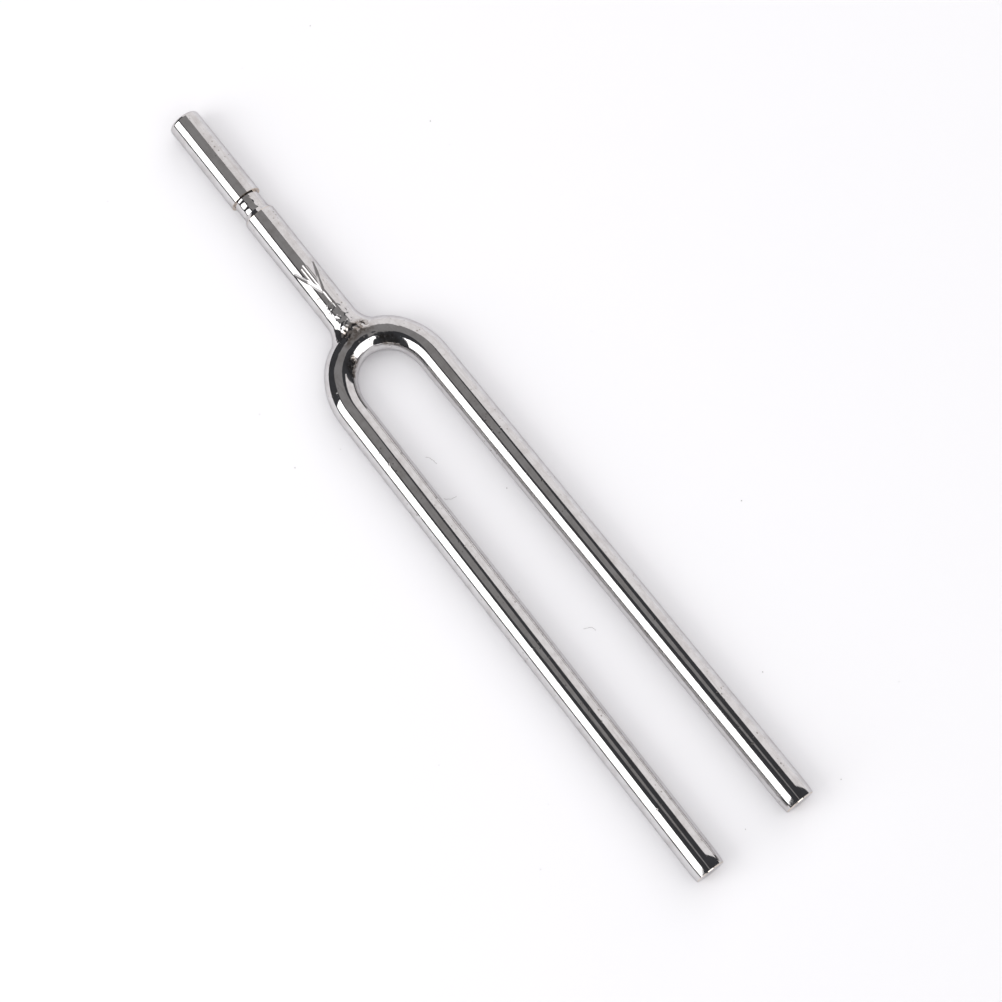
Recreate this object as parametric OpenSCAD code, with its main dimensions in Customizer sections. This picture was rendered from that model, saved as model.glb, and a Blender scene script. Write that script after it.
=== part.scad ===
// Tuning fork: round steel bar bent to a U, with a turned stem brazed to the crown.
// Units are millimetres. The fork lies flat: +X runs from the stem end to the prong ends,
// +Z is up, the origin is at the bottom centre of the whole object.

/* [Parts] */
// Which sub-part to draw

/* [Prong bar] */
// Diameter of the round bar that makes the crown and both prongs
rod_d = 4.5; // [4:0.05:5]
// Length from the outside of the crown to the prong ends
prong_l = 85.7; // [70:0.1:100]
// Radius of the bar's centre line at the middle of the bend
apex_r = 6.05; // [5.5:0.05:6.5]
// Radius of the bar's centre line where the bend runs out into the prongs
flank_r = 8.7; // [8:0.05:9.5]
// Outward lean of each prong
splay_a = 0.54; // [0.1:0.02:1.2]
// Chamfer round each prong end
prong_c = 0.1; // [0.05:0.05:0.4]
// Length over which each prong thins towards its end
taper_l = 2.2; // [1:0.1:3]
// Radius of the long curve that thins it
taper_r = 20; // [16:1:60]

/* [Stem] */
// Diameter of the stem
stem_d = 4.45; // [4:0.05:4.9]
// Length from the outside of the crown to the stem end
stem_l = 37.3; // [30:0.1:45]
// Length of the grip section beyond the groove
grip_l = 14.4; // [10:0.1:18]
// Radius of the rounding round the stem end
end_r = 0.45; // [0.3:0.05:1]
// Height of the low cone inside that rounding
end_h = 0.2; // [0.1:0.05:0.4]
// Diameter of the flat in the middle of the stem end
end_flat_d = 1.8; // [1:0.1:2.5]
// Diameter of the bottom of the groove
neck_d = 3.7; // [3:0.1:4]
// Width of the groove, its chamfer included
groove_w = 3.15; // [2:0.05:5]
// Length of the chamfer on the crown side of the groove
groove_c = 0.7; // [0.3:0.05:1.2]

/* [Joint in the crown] */
// Diameter of the spigot that the stem carries into the crown
spigot_d = 2.5; // [2:0.1:3]
// Depth of the spigot below the outside of the crown
spigot_l = 2.8; // [2:0.1:3.2]
// Clear space left at the bottom of the blind hole
spigot_gap = 0.4; // [0.2:0.1:0.6]
// Root gap between the stem's square end and the crown
root_gap = 0.1; // [0.05:0.05:0.3]
// Radius of the brazed fillet in each corner
fillet_r = 3.4; // [2.8:0.1:3.8]

/* [Struck mark] */
// Distance from the outside of the crown to the point of the mark
mark_x = 5.6; // [5:0.1:9]
// Length of the mark along the stem
mark_l = 4.3; // [2:0.1:5]
// Width of the mark across the stem
mark_w = 3.1; // [2:0.1:3.2]
// Width of each struck line
mark_line = 0.38; // [0.2:0.01:0.4]
// Depth of each struck line
mark_depth = 0.09; // [0.05:0.01:0.15]
// Length of the thin scribed line that runs on towards the crown
scribe_l = 2.8; // [1:0.1:3]
// Spacing of the fine lines between the legs of the mark
hatch_y = 0.42; // [0.3:0.01:0.5]
// Width of the fine lines
hatch_w = 0.22; // [0.15:0.01:0.25]
// Depth of the fine lines
hatch_d = 0.05; // [0.03:0.01:0.08]

/* [Hidden] */
$fn = 128;
rod_r = rod_d / 2;
stem_r = stem_d / 2;
total_l = prong_l + stem_l;
// the crown's outside and the centre of the apex arc, measured along X
crown_x = stem_l - total_l / 2;
apex_x = crown_x + rod_r + apex_r;
// the radius changes on the line that runs 3 back and 4 out from the apex arc's centre
turn_a = atan2(4, 3);
flank_x = (flank_r - apex_r) * 0.6;
flank_y = -(flank_r - apex_r) * 0.8;
// lean, rounded to a cosine of six places so that the bend and the prong share one exact plane
lean_a = acos(round(cos(splay_a) * 1e6) / 1e6);
// straight length that brings the far edge of the end face to the full length
reach_x = prong_l - rod_r - apex_r;
taper_c = taper_r - sqrt(pow(taper_r, 2) - pow(taper_l, 2));
end_face_r = rod_r - taper_c - prong_c;
straight_l = (reach_x - flank_x + (flank_r - end_face_r) * sin(lean_a)) / cos(lean_a);
// centre of the rolling ball that shapes a fillet, seen from the apex arc's centre
ball_y = stem_r + fillet_r;
ball_x = -sqrt(pow(apex_r + rod_r + fillet_r, 2) - pow(ball_y, 2));
ball_d = norm([ball_x + apex_r, ball_y]);
ball_a = atan2(ball_y, ball_x + apex_r);
// ring that stands in for the ball's path: it meets it at the middle plane and at ring_z
ring_z = 0.8 * (rod_r + fillet_r);
ring_c = (pow(ball_d, 2) - pow(0.6 * ball_d, 2) - pow(ring_z, 2)) / (2 * (1 - 0.6) * ball_d);
ring_r = ball_d - ring_c;
// touch points of the fillet on the stem and on the crown
touch_s = [ball_x, stem_r];
touch_c = [ball_x, ball_y] * (apex_r + rod_r) / (apex_r + rod_r + fillet_r);
chord = touch_c - touch_s;
chord_a = atan2(chord[1], chord[0]);
chord_h = (touch_s[1] * chord[0] - (touch_s[0] + apex_r) * chord[1]) / norm(chord);
fill_z = stem_r - 0.03;
// depth by which the ring bites past the touch points, so that the fillet ends in clean edges
ring_dig = 0.05;

// full ring of the round bar about the Z axis
module bar_ring(r, d) {
  rotate_extrude()
    translate([r, 0])
      circle(d = d);
}

// round section along +X
module along_x(x0, len, d) {
  translate([x0, 0, 0])
    rotate([0, 90, 0])
      cylinder(d = d, h = len);
}

// block on the stem side of the line where the radius changes, on the +Y side
module apex_side() {
  rotate([0, 0, 90 - turn_a])
    translate([-40, -20, -20])
      cube([40, 40, 40]);
}

// the part of the bend nearest the stem
module apex_arc(d) {
  intersection() {
    bar_ring(apex_r, d);
    apex_side();
    mirror([0, 1, 0])
      apex_side();
  }
}

// profile of a straight prong: distance from its axis against distance from the bend
module prong_profile() {
  intersection() {
    union() {
      square([rod_r, straight_l - taper_l]);
      intersection() {
        translate([rod_r - taper_r, straight_l - taper_l])
          circle(r = taper_r);
        translate([0, straight_l - taper_l])
          square([rod_r + 1, taper_l]);
      }
    }
    polygon([
      [0, 0],
      [rod_r + 1, 0],
      [rod_r + 1, straight_l - 1 - prong_c - taper_c],
      [end_face_r, straight_l],
      [0, straight_l]
    ]);
  }
}

// one prong with its half of the bend, on the +Y side
module prong_side() {
  difference() {
    translate([flank_x, flank_y, 0])
      rotate([0, 0, lean_a])
        intersection() {
          bar_ring(flank_r, rod_d);
          translate([-20, 0, -20])
            cube([20, 40, 40]);
        }
    apex_side();
  }
  translate([flank_x, flank_y, 0])
    rotate([0, 0, lean_a])
      translate([0, flank_r, 0])
        rotate([0, 90, 0])
          rotate_extrude()
            prong_profile();
}

// bent bar with the blind hole for the stem's spigot
module prong_bar() {
  color("Gainsboro")
    translate([apex_x, 0, rod_r])
      difference() {
        union() {
          apex_arc(rod_d);
          prong_side();
          mirror([0, 1, 0])
            prong_side();
        }
        along_x(-apex_r - rod_r - 1, spigot_l + spigot_gap + 1, spigot_d);
      }
}

// profile of the stem: distance from its axis against distance from its end
module stem_profile() {
  neck_x = grip_l + groove_w;
  difference() {
    union() {
      translate([0, 0])
        square([stem_r, stem_l - root_gap]);
      translate([0, stem_l - root_gap - 0.5])
        square([spigot_d / 2, spigot_l + root_gap + 0.5]);
    }
    polygon([
      [neck_d / 2, grip_l],
      [stem_r + 1, grip_l],
      [stem_r + 1, neck_x],
      [stem_r, neck_x],
      [neck_d / 2, neck_x - groove_c]
    ]);
    polygon([
      [end_flat_d / 2, -1],
      [end_flat_d / 2, 0],
      [stem_r - end_r, end_h],
      [stem_r + 1, end_h],
      [stem_r + 1, -1]
    ]);
    difference() {
      translate([stem_r - end_r, -1])
        square([end_r + 1, end_r + end_h + 1]);
      translate([stem_r - end_r, end_r + end_h])
        circle(r = end_r);
    }
  }
}

// one struck line, a shallow V from point a to point b on the top of the stem, as [x, y]
module struck_line(a, b, w, depth) {
  turn_from = asin(a[1] / stem_r);
  turn_to = asin(b[1] / stem_r);
  half = (turn_to - turn_from) / 2;
  deep_r = stem_r - depth;
  across = 2 * deep_r * sin(half);
  rotate([-(turn_from + turn_to) / 2, 0, 0])
    translate([a[0], -across / 2, deep_r * cos(half)])
      rotate([0, 0, atan2(across, b[0] - a[0])])
        rotate([90, 0, 90])
          linear_extrude(height = norm([b[0] - a[0], across]))
            polygon([[-w, 2 * depth], [0, 0], [w, 2 * depth]]);
}

// plain chevron that points at the crown, with fine lines between its legs and a line beyond it
module struck_mark() {
  tip_x = crown_x - mark_x;
  tail_x = tip_x - mark_l;
  leg_x = tip_x - 2 * mark_l / mark_w * hatch_y;
  for (s = [-1, 1]) {
    struck_line([tail_x, s * mark_w / 2], [tip_x - mark_l * 0.46, s * mark_w * 0.21], mark_line, mark_depth);
    struck_line([tip_x - mark_l * 0.56, s * mark_w * 0.3], [tip_x + 0.1, -s * 0.06], mark_line, mark_depth);
    struck_line([tail_x + 0.1, s * hatch_y], [leg_x, s * hatch_y], hatch_w, hatch_d);
  }
  struck_line([tail_x - 0.2, 0], [tip_x + scribe_l, 0], hatch_w, hatch_d);
}

// turned stem: grip, groove, shank and spigot
module stem() {
  color("Silver")
    difference() {
      translate([-total_l / 2, 0, rod_r])
        rotate([0, 90, 0])
          rotate_extrude()
            stem_profile();
      translate([0, 0, rod_r])
        struck_mark();
    }
}

// corner fill on the +Y side, before the bar and the stem are taken out of it
module corner_fill() {
  difference() {
    intersection() {
      translate([-apex_r, 0, 0])
        rotate([0, 0, chord_a])
          rotate([90, 0, 90])
            linear_extrude(height = 20, center = true)
              polygon([for (t = [0:7.5:359]) [chord_h * cos(t), fill_z * sin(t)]]);
      translate([ball_x - 0.5, -0.5, -rod_r])
        cube([-apex_r - ball_x + 0.5, ball_y, rod_d]);
    }
    translate([-apex_r, 0, 0])
      rotate([0, 0, ball_a])
        translate([ring_c - ring_dig, 0, 0])
          rotate([90, 0, 0])
            rotate([0, 0, -90])
              rotate_extrude(angle = 180)
                translate([ring_r, 0])
                  circle(r = fillet_r);
  }
}

// braze metal: a ring in the root gap that swells into a fillet on both sides
module braze_fillet() {
  root_x0 = -apex_r - rod_r - root_gap;
  color("LightGray")
    translate([apex_x, 0, rod_r])
      difference() {
        union() {
          along_x(root_x0, rod_r + root_gap, stem_d);
          corner_fill();
          mirror([0, 1, 0])
            corner_fill();
        }
        along_x(root_x0 - 6, 6, stem_d);
        along_x(root_x0 - 1, rod_r + 2, spigot_d);
        apex_arc(rod_d);
      }
}

prong_bar();
stem();
braze_fillet();
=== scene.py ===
"""Looks of the tuning fork: chrome plating, the braze at the crown, floor, light and camera.

Metres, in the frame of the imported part: +X runs from the stem end to the prong ends, +Z is up.
"""

import math

import bmesh
import bpy
import numpy as np
from mathutils import Matrix, Vector


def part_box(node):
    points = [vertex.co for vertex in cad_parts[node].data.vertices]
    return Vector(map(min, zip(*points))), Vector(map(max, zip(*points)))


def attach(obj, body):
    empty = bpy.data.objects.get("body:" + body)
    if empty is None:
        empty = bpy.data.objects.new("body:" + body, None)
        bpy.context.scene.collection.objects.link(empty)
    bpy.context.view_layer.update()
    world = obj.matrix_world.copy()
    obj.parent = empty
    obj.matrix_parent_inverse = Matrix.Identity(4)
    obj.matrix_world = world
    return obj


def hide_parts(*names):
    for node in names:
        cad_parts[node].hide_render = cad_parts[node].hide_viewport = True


MM = 0.001

# Fork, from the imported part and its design
APEX_R = 6.05 * MM  # bar's centre line at the middle of the bend
FLANK_R = 8.7 * MM  # bar's centre line where the bend runs out
TURN = math.atan2(4, 3)  # angle from the bend's middle at which the radius changes
FILLET_R = 3.4 * MM
ROD_R = 2.25 * MM
GRIP_L = 14.4 * MM  # stem end to groove
GROOVE_W = 3.15 * MM

# Braze skin over the crown; each pair is where something starts to fade and where it ends,
# from the crown's outside along the stem or from the middle of the bend along the bar
SKIN_VOXEL = 0.13 * MM
SKIN_PROUD = 0.025 * MM
SKIN_SINK = 0.06 * MM
SKIN_ON_STEM = (2.6 * MM, 4.6 * MM)
SKIN_ON_BAR = (4.6 * MM, 7.2 * MM)
WAVES_ON_BAR = (2.6 * MM, 5.4 * MM)
LOWEST = 0.001 * MM  # keeps the skin clear of the floor
BALL_REACH = 0.998  # share of the fillet's height over which the ball's path is worked out
BALL_STEPS = 241
EVEN_ROUNDS = 12

# Camera: heading and tilt in degrees, distance and aim point in metres
CAM_HEADING = 142.32
CAM_TILT = 74.9
CAM_DISTANCE = 0.41973
CAM_AIM = Vector((6.81, 1.46, 2.25)) * MM
CAM_LENS = 115.7
CAM_SENSOR = 36.0

# Studio: panel corners as (metres along X, degrees from straight up, positive towards +Y)
PANEL_DISTANCE = 0.6
KEY = [(-0.32, -80), (0.10, -80), (0.09, -34), (-0.30, -35)]
WALL = [(-0.75, 93), (0.08, 93), (0.03, 37), (-0.12, 36), (-0.30, 29), (-0.75, 29)]
FRONT = [(-0.075, 0.02), (0.58, 0.02), (0.66, 1.1), (-0.19, 1.15)]  # (Y, Z) at +X
BACK = [(0.04, 0.0), (0.9, 0.0), (0.9, 0.62), (0.08, 0.60)]  # (Y, Z) at -X
CEILING_HEIGHT = 1.0
CEILING = [(-1.0, 29.0), (-0.34, 28.0), (-0.20, 20.0), (-0.02, 3.0), (0.35, 2.5)]
WHITE = (1, 1, 1)
WALL_TONE = (1.0, 0.975, 0.978)
CEILING_TONE = (1.0, 0.975, 0.975)
SKY_TONE = (0.9, 0.92, 1.0)
KEY_LIGHT, WALL_LIGHT, FRONT_LIGHT, BACK_LIGHT, CEILING_LIGHT, SKY_LIGHT = 2.8, 0.99, 2.4, 1.0, 0.29, 0.06
TOP_SIZE, TOP_HEIGHT, TOP_WATTS = 3.0, 0.8, 27.0
FLOOR_SIZE = 1.8
FLOOR_TONE = (0.925, 0.915, 0.935)
DUST_TONE = (0.33, 0.31, 0.31)
GRAINS, FIBRES, FIBRE_STEPS = 22, 3, 14

# Plating: tones, then texture scales per metre, then depths of relief
CHROME = (0.665, 0.655, 0.655)
CHROME_CLEAN = (0.70, 0.69, 0.695)
STAIN = (0.565, 0.545, 0.54)
PIT = (0.22, 0.19, 0.165)
RIM = (0.70, 0.60, 0.49)
SET_BRAZE = (0.27, 0.235, 0.21)
EDGE = (0.70, 0.69, 0.71, 1)  # reflectance near grazing
STAIN_SCALE, STREAK_SCALE, PIT_SCALE, PATCH_SCALE = 700.0, 2600.0, 1500.0, 260.0
SLOW_SCALE, FINE_SCALE, GRAIN_SCALE = 420.0, 1900.0, 2300.0
SLOW_DEPTH, FINE_DEPTH, PIT_DEPTH = 0.0045 * MM, 0.0016 * MM, 0.008 * MM
GRAIN_DEPTH = 0.045 * MM
TURN_PITCH, TURN_DEPTH = 1.1 * MM, 0.03 * MM


def shader_tree(name):
    material = bpy.data.materials.new(name)
    material.use_nodes = True
    tree = material.node_tree
    tree.nodes.clear()
    return material, tree


def add(tree, kind, **values):
    """One node, with its properties or its input defaults set by name."""
    n = tree.nodes.new(kind)
    for key, value in values.items():
        if hasattr(n, key):
            setattr(n, key, value)
        else:
            n.inputs[key.replace("_", " ")].default_value = value
    return n


def link(tree, out, socket):
    tree.links.new(out, socket)


def surface(tree, shader):
    """Makes the shader the material's surface."""
    link(tree, shader.outputs[0], add(tree, "ShaderNodeOutputMaterial").inputs["Surface"])


def new_object(name, mesh):
    o = bpy.data.objects.new(name, mesh)
    bpy.context.scene.collection.objects.link(o)
    return o


# ---------------------------------------------------------------- studio


def matt(name, tone):
    """Plain matt material for what lies on the stage."""
    material, tree = shader_tree(name)
    surface(tree, add(tree, "ShaderNodeBsdfPrincipled", Base_Color=(*tone, 1), Roughness=0.9))
    return material


def flat(name, corners):
    """Object with one flat face."""
    mesh = bpy.data.meshes.new(name)
    mesh.from_pydata([tuple(c) for c in corners], [], [tuple(range(len(corners)))])
    return new_object(name, mesh)


def card(name, corners, radiance, colour=WHITE, lights_floor=False):
    """A flat lit panel beside the fork, square to the middle of its angles."""
    angles = [c[1] for c in corners]
    middle = (min(angles) + max(angles)) / 2
    mid = math.radians(middle)
    out = Vector((0, math.sin(mid), math.cos(mid))) * PANEL_DISTANCE
    across = Vector((0, math.cos(mid), -math.sin(mid))) * PANEL_DISTANCE
    points = [out + across * math.tan(math.radians(a - middle)) + Vector((x, 0, 0)) for x, a in corners]
    panel(name, points, radiance, colour, lights_floor)


def panel(name, corners, radiance, colour=WHITE, lights_floor=False):
    """A lit panel that only reflections see, and the floor if it is said to light it."""
    o = flat(name, corners)
    material, tree = shader_tree(name)
    surface(tree, add(tree, "ShaderNodeEmission", Color=(*colour, 1), Strength=radiance))
    o.data.materials.append(material)
    o.visible_camera = False
    o.visible_diffuse = lights_floor
    o.visible_shadow = False


def floor():
    s = FLOOR_SIZE / 2
    o = flat("floor", [(-s, -s, 0), (s, -s, 0), (s, s, 0), (-s, s, 0)])
    o.data.materials.append(matt("floor", FLOOR_TONE))


def grain_of_dust(bm, draw):
    x, y = draw.uniform(-0.075, 0.075), draw.uniform(-0.03, 0.03)
    r = draw.uniform(0.04, 0.10) * MM
    shape = Vector((1.0, draw.uniform(0.6, 1.0), 0.6))
    lying = Matrix.LocRotScale(Vector((x, y, r * shape.z)), None, shape)
    bmesh.ops.create_icosphere(bm, subdivisions=1, radius=r, matrix=lying)


def fibre(bm, draw):
    at = Vector((draw.uniform(-0.01, 0.05), draw.uniform(-0.004, 0.004), 0.03 * MM))
    way = draw.uniform(0, 6.28)
    path = []
    for _ in range(FIBRE_STEPS):
        way += draw.normal() * 0.25
        at = at + Vector((math.cos(way), math.sin(way), 0)) * 0.14 * MM
        path.append(at)
    tube(bm, path, 0.018 * MM, 6)


def dust():
    """A few grains and short fibres lying on the floor round the fork."""
    draw = np.random.default_rng(12)
    bm = bmesh.new()
    for _ in range(GRAINS):
        grain_of_dust(bm, draw)
    for _ in range(FIBRES):
        fibre(bm, draw)
    mesh = bpy.data.meshes.new("dust")
    bm.to_mesh(mesh)
    bm.free()
    mesh.materials.append(matt("dust", DUST_TONE))
    new_object("dust", mesh)


def sky():
    """Dim surroundings, seen as the darkest bands in the chrome."""
    world = bpy.data.worlds.new("studio")
    bpy.context.scene.world = world
    world.use_nodes = True
    back = world.node_tree.nodes["Background"]
    back.inputs["Color"].default_value = (*SKY_TONE, 1)
    back.inputs["Strength"].default_value = SKY_LIGHT


def top_light():
    """Soft light from above that the chrome doesn't mirror."""
    light = bpy.data.lights.new("top", "AREA")
    light.shape = "RECTANGLE"
    light.size, light.size_y = TOP_SIZE, TOP_SIZE
    light.energy = TOP_WATTS
    o = new_object("top", light)
    o.location = (0.0, 0.0, TOP_HEIGHT)
    o.visible_glossy = False
    o.visible_camera = False


def studio():
    floor()
    dust()
    card("key", KEY, KEY_LIGHT, lights_floor=True)
    card("wall", WALL, WALL_LIGHT, WALL_TONE, lights_floor=True)
    panel("front", [(PANEL_DISTANCE, y, z) for y, z in FRONT], FRONT_LIGHT)
    panel("back", [(-PANEL_DISTANCE, y, z) for y, z in BACK], BACK_LIGHT, WALL_TONE)
    sky()
    ceiling()
    top_light()


def ceiling():
    """Dim ceiling over the stem that narrows to a strip over the prongs."""
    edge = [(x, CEILING_HEIGHT * math.tan(math.radians(a))) for x, a in CEILING]
    corners = [Vector((x, y, CEILING_HEIGHT)) for x, y in edge]
    corners += [Vector((x, -y, CEILING_HEIGHT)) for x, y in edge[::-1]]
    panel("ceiling", corners, CEILING_LIGHT, CEILING_TONE)


def camera():
    data = bpy.data.cameras.new("camera")
    data.lens, data.sensor_width = CAM_LENS, CAM_SENSOR
    data.clip_start, data.clip_end = 0.01, 10
    o = new_object("camera", data)
    heading, tilt = math.radians(CAM_HEADING), math.radians(CAM_TILT)
    level = Vector((math.cos(heading), math.sin(heading), 0))
    look = level * math.cos(tilt) - Vector((0, 0, math.sin(tilt)))
    o.location = CAM_AIM - look * CAM_DISTANCE
    o.rotation_mode = "QUATERNION"
    o.rotation_quaternion = look.to_track_quat("-Z", "Y")
    bpy.context.scene.camera = o
    bpy.context.scene.view_settings.view_transform = "Standard"


# ---------------------------------------------------------------- braze skin


def rods():
    """The fork's rods: their radii, the crown and the bend's centre along X, the axes' height."""
    stem_lo, stem_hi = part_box("stem")
    bar_lo, bar_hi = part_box("prong_bar")
    rod_r = (bar_hi.z - bar_lo.z) / 2
    return {
        # a hair over the stem's faceted mesh
        "stem_r": (stem_hi.y - stem_lo.y) / 2 + 0.001 * MM,
        "rod_r": rod_r,
        "crown": bar_lo.x,
        "apex": bar_lo.x + rod_r + APEX_R,
        "z": rod_r,
    }


def bar_axis(p, g):
    """Nearest point of the bar's centre line in the bend, for each point of p."""
    side = np.where(p[:, 1] < 0, -1.0, 1.0)
    x, y = p[:, 0] - g["apex"], np.abs(p[:, 1])
    flank = np.arctan2(y, -x) > TURN
    shift = (FLANK_R - APEX_R) * np.array([math.cos(TURN), -math.sin(TURN)])
    cx, cy = np.where(flank, shift[0], 0), np.where(flank, shift[1], 0)
    r = np.where(flank, FLANK_R, APEX_R)
    d = np.maximum(np.hypot(x - cx, y - cy), 1e-9)
    ax, ay = cx + (x - cx) / d * r, cy + (y - cy) / d * r
    return np.column_stack([ax + g["apex"], ay * side, np.full(len(p), g["z"])])


def stem_axis(p, g):
    """Nearest point of the stem's axis, which ends in the middle of the crown."""
    x = np.minimum(p[:, 0], g["apex"] - APEX_R - 0.2 * MM)
    return np.column_stack([x, np.zeros(len(p)), np.full(len(p), g["z"])])


def ball_centre(t, side, g):
    """Centre of the ball that rolls round the corner of stem and crown, at height t from -1 to 1."""
    near_s, near_b = g["stem_r"] + FILLET_R, g["rod_r"] + FILLET_R
    z = t * near_s
    y = np.sqrt(np.maximum(near_s**2 - z**2, 0))
    rho = APEX_R + np.sqrt(np.maximum(near_b**2 - z**2, 0))
    x = g["apex"] - np.sqrt(np.maximum(rho**2 - y**2, 0))
    return np.column_stack([x, y * side, g["z"] + z])


def unit(v):
    return v / np.maximum(np.linalg.norm(v, axis=1, keepdims=True), 1e-12)


def nearest_ball(p, side, g):
    """Centre of the rolling ball nearest to each point, on the point's own side."""
    steps = np.linspace(-BALL_REACH, BALL_REACH, BALL_STEPS)
    path = ball_centre(steps, 1.0, g)
    q = p * np.column_stack([np.ones(len(p)), side, np.ones(len(p))])
    far = ((q[:, None, :] - path[None]) ** 2).sum(2)
    k = np.clip(far.argmin(1), 1, len(steps) - 2)
    i = np.arange(len(p))
    a, b, c = far[i, k - 1], far[i, k], far[i, k + 1]
    t = steps[k] + (steps[1] - steps[0]) * 0.5 * (a - c) / np.maximum(a - 2 * b + c, 1e-18)
    return ball_centre(np.clip(t, -0.999, 0.999), side, g)


def onto_joint(p, g):
    """Moves each point onto the nearer rod, or onto the fillet between the ball's touch lines.

    Gives the moved points and their normals.
    """
    stem, bar = stem_axis(p, g), bar_axis(p, g)
    to_s, to_b = p - stem, p - bar
    gap_s = np.linalg.norm(to_s, axis=1) - g["stem_r"]
    gap_b = np.linalg.norm(to_b, axis=1) - g["rod_r"]
    on_stem = gap_s < gap_b
    out = np.where(on_stem[:, None], stem + unit(to_s) * g["stem_r"], bar + unit(to_b) * g["rod_r"])
    normal = np.where(on_stem[:, None], unit(to_s), unit(to_b))
    ball = nearest_ball(p, np.where(p[:, 1] < 0, -1.0, 1.0), g)
    to_stem, to_bar = unit(stem_axis(ball, g) - ball), unit(bar_axis(ball, g) - ball)
    from_ball = unit(p - ball)
    middle = unit(to_stem + to_bar)
    inside = (from_ball * middle).sum(1) > (to_stem * middle).sum(1)
    out = np.where(inside[:, None], ball + from_ball * FILLET_R, out)
    return out, np.where(inside[:, None], -from_ball, normal)


def tube(bm, points, radius, sides=24):
    """Closed tube along points that lie in a level plane."""
    rings = []
    for i, p in enumerate(points):
        ahead, behind = points[min(i + 1, len(points) - 1)], points[max(i - 1, 0)]
        run = (ahead - behind).normalized()
        across = run.cross(Vector((0, 0, 1)))
        turn = [2 * math.pi * k / sides for k in range(sides)]
        ring = [p + (across * math.cos(u) + Vector((0, 0, math.sin(u)))) * radius for u in turn]
        rings.append([bm.verts.new(v) for v in ring])
    for a, b in zip(rings, rings[1:]):
        for k in range(sides):
            bm.faces.new((a[k], a[(k + 1) % sides], b[(k + 1) % sides], b[k]))
    bm.faces.new(rings[0][::-1])
    bm.faces.new(rings[-1])


def remeshed_joint(g):
    """Even mesh of the two crossing rods near the joint."""
    bm = bmesh.new()
    centre = Vector((g["apex"], 0, g["z"]))
    arc = [math.radians(a) for a in range(-75, 76, 3)]
    tube(bm, [centre - Vector((math.cos(a), math.sin(a), 0)) * APEX_R for a in arc], g["rod_r"])
    far_end = g["crown"] - SKIN_ON_STEM[1] - 1.0 * MM
    near_end = g["apex"] - APEX_R
    tube(bm, [Vector((far_end, 0, g["z"])), Vector((near_end, 0, g["z"]))], g["stem_r"])
    bmesh.ops.recalc_face_normals(bm, faces=bm.faces)
    mesh = bpy.data.meshes.new("braze")
    bm.to_mesh(mesh)
    bm.free()
    o = new_object("braze", mesh)
    m = o.modifiers.new("even", "REMESH")
    m.mode, m.voxel_size = "VOXEL", SKIN_VOXEL
    done = bpy.data.meshes.new_from_object(o.evaluated_get(bpy.context.evaluated_depsgraph_get()))
    o.modifiers.clear()
    o.data = done
    return o


def smooth_step(x, lo, hi):
    t = np.clip((x - lo) / (hi - lo), 0, 1)
    return t * t * (3 - 2 * t)


def lumps(p, size, seed):
    """Smooth pseudo-noise between about -1 and 1: a few crossed waves at the given size."""
    draw = np.random.default_rng(seed)
    total = np.zeros(len(p))
    for _ in range(9):
        way = draw.normal(size=3)
        way *= 2 * math.pi / size / np.linalg.norm(way) * draw.uniform(0.6, 1.5)
        total += np.sin(p @ way + draw.uniform(0, 2 * math.pi))
    return total / 4.5


def wrinkle_zone(p, g):
    """1 on top of the joint, where the braze set rough, fading to 0 round it."""
    x, y, z = p[:, 0] - g["crown"], p[:, 1], p[:, 2] - g["z"]
    along = smooth_step(x, -3.9 * MM, -2.2 * MM) * (1 - smooth_step(x, 0.6 * MM, 2.4 * MM))
    spread = 0.7 * np.clip(x, 0, 1.5 * MM)
    across = 1 - smooth_step(np.abs(y - 0.1 * MM), 0.8 * MM + spread, 1.6 * MM + spread)
    return along * across * smooth_step(z, 0.6 * MM, 1.4 * MM)


def wrinkles(p):
    """Height of the rough patch in millimetres: sharp creases and small pits."""
    crease = 1 - np.abs(lumps(p, 1.1 * MM, 8))
    coarse, fine = 0.085 * lumps(p, 0.9 * MM, 7), 0.03 * lumps(p, 0.42 * MM, 9)
    return coarse - 0.16 * np.clip(crease - 0.5, 0, 1) + fine


def evened(mesh, g):
    """The mesh's vertices, spread evenly over the joint, and their normals."""
    p = np.empty(len(mesh.vertices) * 3)
    mesh.vertices.foreach_get("co", p)
    p = p.reshape(-1, 3)
    edges = np.empty(len(mesh.edges) * 2, int)
    mesh.edges.foreach_get("vertices", edges)
    edges = edges.reshape(-1, 2)
    count = np.bincount(edges.ravel(), minlength=len(p))[:, None]
    for _ in range(EVEN_ROUNDS):
        p, _normal = onto_joint(p, g)
        mean = np.zeros_like(p)
        np.add.at(mean, edges[:, 0], p[edges[:, 1]])
        np.add.at(mean, edges[:, 1], p[edges[:, 0]])
        p = p * 0.4 + mean / count * 0.6
    return onto_joint(p, g)


def as_set(p, normal, g):
    """Raises the skin off the rods, waves and creases it, and sinks its edges into them."""
    along_stem = g["crown"] - p[:, 0]
    along_bar = np.arctan2(np.abs(p[:, 1]), g["apex"] - p[:, 0]) * APEX_R
    stem_edge = smooth_step(along_stem, *SKIN_ON_STEM)
    edge = np.maximum(stem_edge, smooth_step(along_bar, *SKIN_ON_BAR))
    calm = np.maximum(stem_edge, smooth_step(along_bar, *WAVES_ON_BAR))
    wave = 0.018 * lumps(p, 1.8 * MM, 3) + 0.003 * lumps(p, 0.5 * MM, 4)
    rough = ((1 - calm) * wave + wrinkle_zone(p, g) * wrinkles(p)) * MM
    p = p + normal * (SKIN_PROUD * (1 - edge) - SKIN_SINK * edge + rough)[:, None]
    p[:, 2] = np.maximum(p[:, 2], LOWEST)
    return p


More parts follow.
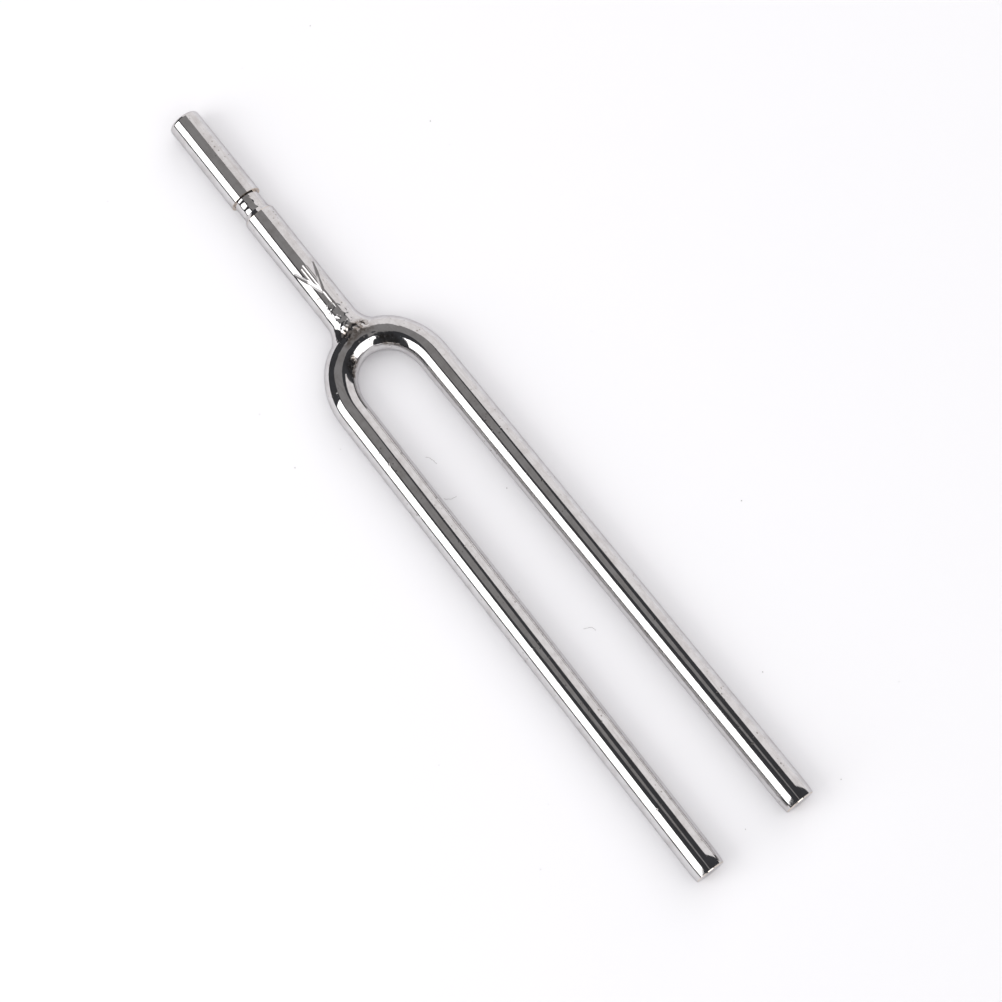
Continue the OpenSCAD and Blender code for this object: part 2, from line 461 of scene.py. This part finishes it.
def past_skin(v, g):
    """Whether a vertex lies beyond the skin's ends, inside a rod."""
    along_bar = math.atan2(abs(v.co.y), g["apex"] - v.co.x) * APEX_R
    return g["crown"] - v.co.x > SKIN_ON_STEM[1] or along_bar > SKIN_ON_BAR[1]


def braze_skin(g):
    """Braze metal drawn up round the joint: a closed skin that sinks into both rods at its edges."""
    o = remeshed_joint(g)
    p, normal = evened(o.data, g)
    o.data.vertices.foreach_set("co", as_set(p, normal, g).ravel())
    bm = bmesh.new()
    bm.from_mesh(o.data)
    bmesh.ops.delete(bm, geom=[v for v in bm.verts if past_skin(v, g)], context="VERTS")
    bmesh.ops.holes_fill(bm, edges=[e for e in bm.edges if e.is_boundary])
    bmesh.ops.recalc_face_normals(bm, faces=bm.faces)
    for f in bm.faces:
        f.smooth = True
    bm.to_mesh(o.data)
    bm.free()
    return o


# ---------------------------------------------------------------- plating


def ramp(tree, value, stops):
    """Colour or grey ramp over value; stops are (position, colour or grey)."""
    n = add(tree, "ShaderNodeValToRGB")
    elements = n.color_ramp.elements
    while len(elements) < len(stops):
        elements.new(0.5)
    for e, (position, tone) in zip(elements, stops):
        e.position = position
        e.color = (tone, tone, tone, 1) if isinstance(tone, (int, float)) else (*tone, 1)
    link(tree, value, n.inputs["Fac"])
    return n.outputs["Color"]


def noise(tree, where, scale, detail=3.0, roughness=0.5, stretch=None, distortion=0.0):
    if stretch:
        squeeze = add(tree, "ShaderNodeMapping", Scale=stretch)
        link(tree, where, squeeze.inputs["Vector"])
        where = squeeze.outputs["Vector"]
    grain = {"Scale": scale, "Detail": detail, "Roughness": roughness, "Distortion": distortion}
    n = add(tree, "ShaderNodeTexNoise", **grain)
    link(tree, where, n.inputs["Vector"])
    return n.outputs["Fac"]


def calc(tree, operation, a, b):
    n = add(tree, "ShaderNodeMath", operation=operation)
    for socket, value in zip(n.inputs, (a, b)):
        if isinstance(value, (int, float)):
            socket.default_value = value
        else:
            link(tree, value, socket)
    return n.outputs["Value"]


def blend(tree, factor, a, b, how="MIX"):
    n = add(tree, "ShaderNodeMix", data_type="RGBA", blend_type=how)
    sockets = [i for i in n.inputs if i.type == "RGBA"]
    link(tree, factor, n.inputs["Factor"])
    for socket, value in zip(sockets, (a, b)):
        if isinstance(value, tuple):
            socket.default_value = (*value, 1)
        else:
            link(tree, value, socket)
    return next(o for o in n.outputs if o.type == "RGBA")


def bump(tree, height, depth, below=None):
    """Bump of the given depth in metres for a height running from 0 to 1."""
    n = add(tree, "ShaderNodeBump", Strength=1.0, Distance=depth)
    link(tree, height, n.inputs["Height"])
    if below:
        link(tree, below, n.inputs["Normal"])
    return n.outputs["Normal"]


def between(tree, value, start, end, at_start, at_end):
    """Straight run from at_start to at_end as value goes from start to end, level outside."""
    run = {"From_Min": start, "From_Max": end, "To_Min": at_start, "To_Max": at_end}
    n = add(tree, "ShaderNodeMapRange", **run)
    link(tree, value, n.inputs["Value"])
    return n.outputs["Result"]


def near(tree, along, centre, width, fade=None):
    """1 where along is within width of centre, fading to 0 over fade, or over as much again."""
    away = calc(tree, "ABSOLUTE", calc(tree, "SUBTRACT", along, centre), 0.0)
    return between(tree, away, width, width + (fade or width), 1.0, 0.0)


def product(tree, *factors):
    total = factors[0]
    for factor in factors[1:]:
        total = calc(tree, "MULTIPLY", total, factor)
    return total


def distance(tree, a, b):
    """Length of the two legs a and b together, square to each other."""
    return calc(tree, "SQRT", calc(tree, "ADD", product(tree, a, a), product(tree, b, b)), 0.0)


def braze_grain(tree, where, split, bend):
    """How grainy the braze is left inside the bend and on the crown, and the grain itself."""
    aside = calc(tree, "ABSOLUTE", split.outputs["Y"], 0.0)
    reach = distance(tree, calc(tree, "SUBTRACT", split.outputs["X"], bend), aside)
    upper = between(tree, split.outputs["Z"], 3.1 * MM, 3.6 * MM, 0.0, 1.0)
    inner = between(tree, reach, 5.0 * MM, 5.7 * MM, 1.0, 0.03)
    beside = calc(tree, "MAXIMUM", near(tree, aside, 2.95 * MM, 0.7 * MM, 0.6 * MM), 0.10)
    crown = near(tree, reach, 7.1 * MM, 0.8 * MM, 0.6 * MM)
    middle = near(tree, aside, 0.0, 1.6 * MM, 1.0 * MM)
    grain = noise(tree, where, GRAIN_SCALE, 3.0, 0.55, distortion=0.4)
    return product(tree, inner, beside, upper), product(tree, crown, middle, upper), grain


def off_axis(tree, split, axis_y):
    """1 near the rim of an end face whose centre is axis_y out from the middle, 0 at its centre."""
    z = calc(tree, "SUBTRACT", split.outputs["Z"], ROD_R)
    y = calc(tree, "SUBTRACT", calc(tree, "ABSOLUTE", split.outputs["Y"], 0.0), axis_y)
    return between(tree, distance(tree, y, z), 1.55 * MM, 2.0 * MM, 0.0, 1.0)


def pitting(tree, where):
    """1 in small round pits that come in patches."""
    cells = add(tree, "ShaderNodeTexVoronoi", Scale=PIT_SCALE, Randomness=1.0)
    link(tree, where, cells.inputs["Vector"])
    spot = ramp(tree, cells.outputs["Distance"], [(0.10, 1.0), (0.24, 0.0)])
    patchy = ramp(tree, noise(tree, where, PATCH_SCALE, 3.0, 0.6), [(0.50, 0.0), (0.62, 1.0)])
    return product(tree, spot, patchy)


def turning_marks(tree, where, along, groove):
    """Slightly skewed rings left by the tool, inside the groove only."""
    rings = add(tree, "ShaderNodeTexWave", Scale=0.314 / TURN_PITCH, Distortion=0.5, Detail=0.0)
    rings.inputs["Detail Scale"].default_value = 1.0
    skew = add(tree, "ShaderNodeMapping", Rotation=(0.0, 0.2, 0.2))
    link(tree, where, skew.inputs["Vector"])
    link(tree, skew.outputs["Vector"], rings.inputs["Vector"])
    lo, hi = groove
    inside = near(tree, along, (lo + hi) / 2, (hi - lo) / 2 - 0.5 * MM, 0.4 * MM)
    return product(tree, rings.outputs["Fac"], inside)


def plating(name, rims=(), axis_y=0.0, bend=None, groove=None):
    """Bright chrome over steel: stained and pitted, worn warm along its rims.

    rims are places along X with their widths, axis_y is the rod's distance from the
    middle, bend is the middle of the bend for the braze's grain, and groove is the
    stretch along X that keeps turning marks.
    """
    material, tree = shader_tree(name)
    body = add(tree, "ShaderNodeBsdfPrincipled", Metallic=1.0, Specular_Tint=EDGE)
    where = add(tree, "ShaderNodeTexCoord").outputs["Object"]
    split = add(tree, "ShaderNodeSeparateXYZ")
    link(tree, where, split.inputs["Vector"])
    along = split.outputs["X"]
    stain = noise(tree, where, STAIN_SCALE, 6.0, 0.62)
    streak = noise(tree, where, STREAK_SCALE, 3.0, 0.55, stretch=(0.06, 1.0, 1.0))
    pits = pitting(tree, where)

    # colour: cloudy stain, drawn streaks, brown pits, warm rims
    tone = ramp(tree, stain, [(0.30, STAIN), (0.55, CHROME), (0.75, CHROME_CLEAN)])
    tone = blend(tree, ramp(tree, streak, [(0.52, 0.0), (0.70, 0.55)]), tone, STAIN)
    tone = blend(tree, product(tree, pits, 0.75), tone, PIT)
    outer = off_axis(tree, split, axis_y)
    for place, width in rims:
        worn = ramp(tree, stain, [(0.35, 0.4), (0.6, 1.0)])
        tone = blend(tree, product(tree, near(tree, along, place, width), worn, outer), tone, RIM)

    # roughness: polished, duller in the stain, the streaks and the pits
    dull = calc(tree, "ADD", ramp(tree, stain, [(0.35, 0.075), (0.65, 0.035)]), product(tree, pits, 0.25))
    dull = calc(tree, "ADD", dull, ramp(tree, streak, [(0.5, 0.0), (0.75, 0.07)]))

    # relief: slow waves, drawing marks, pits, then what the making left
    normal = bump(tree, noise(tree, where, SLOW_SCALE, 2.0), SLOW_DEPTH)
    normal = bump(tree, noise(tree, where, FINE_SCALE, 2.0), FINE_DEPTH, normal)
    normal = bump(tree, calc(tree, "SUBTRACT", 1.0, pits), PIT_DEPTH, normal)
    if groove:
        normal = bump(tree, turning_marks(tree, where, along, groove), TURN_DEPTH, normal)
    if bend:
        inner, crown, grain = braze_grain(tree, where, split, bend)
        hollow = ramp(tree, grain, [(0.42, 1.0), (0.62, 0.45)])
        tone = blend(tree, product(tree, calc(tree, "MAXIMUM", inner, crown), hollow), tone, SET_BRAZE)
        rough = calc(tree, "MAXIMUM", inner, product(tree, crown, 0.42))
        normal = bump(tree, product(tree, grain, rough), GRAIN_DEPTH, normal)
    link(tree, tone, body.inputs["Base Color"])
    link(tree, dull, body.inputs["Roughness"])
    link(tree, normal, body.inputs["Normal"])
    surface(tree, body)
    return material


def dress(node, material):
    """New material on a CAD node, whose mesh stays as it is."""
    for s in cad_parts[node].material_slots:
        s.material = material


def dress_rods():
    prong_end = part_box("prong_bar")[1]
    stem_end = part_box("stem")[0].x
    groove = (stem_end + GRIP_L, stem_end + GRIP_L + GROOVE_W)
    bar_rims = [(prong_end.x, 0.07 * MM)]
    stem_rims = [(stem_end, 0.16 * MM), (groove[0], 0.035 * MM), (groove[1], 0.025 * MM)]
    dress("prong_bar", plating("bar_plating", bar_rims, prong_end.y - ROD_R))
    dress("stem", plating("stem_plating", stem_rims, groove=groove))


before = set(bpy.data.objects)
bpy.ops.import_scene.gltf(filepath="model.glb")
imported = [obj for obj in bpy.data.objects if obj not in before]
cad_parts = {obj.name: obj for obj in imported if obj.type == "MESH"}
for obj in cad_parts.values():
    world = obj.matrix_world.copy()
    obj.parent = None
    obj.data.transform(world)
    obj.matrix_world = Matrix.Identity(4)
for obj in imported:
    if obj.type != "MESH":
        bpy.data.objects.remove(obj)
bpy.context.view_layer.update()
studio()
camera()
dress_rods()
joint = rods()
braze = braze_skin(joint)
braze.data.materials.clear()
braze.data.materials.append(plating("braze_plating", bend=joint["apex"]))
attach(braze, "root")
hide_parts("braze_fillet")
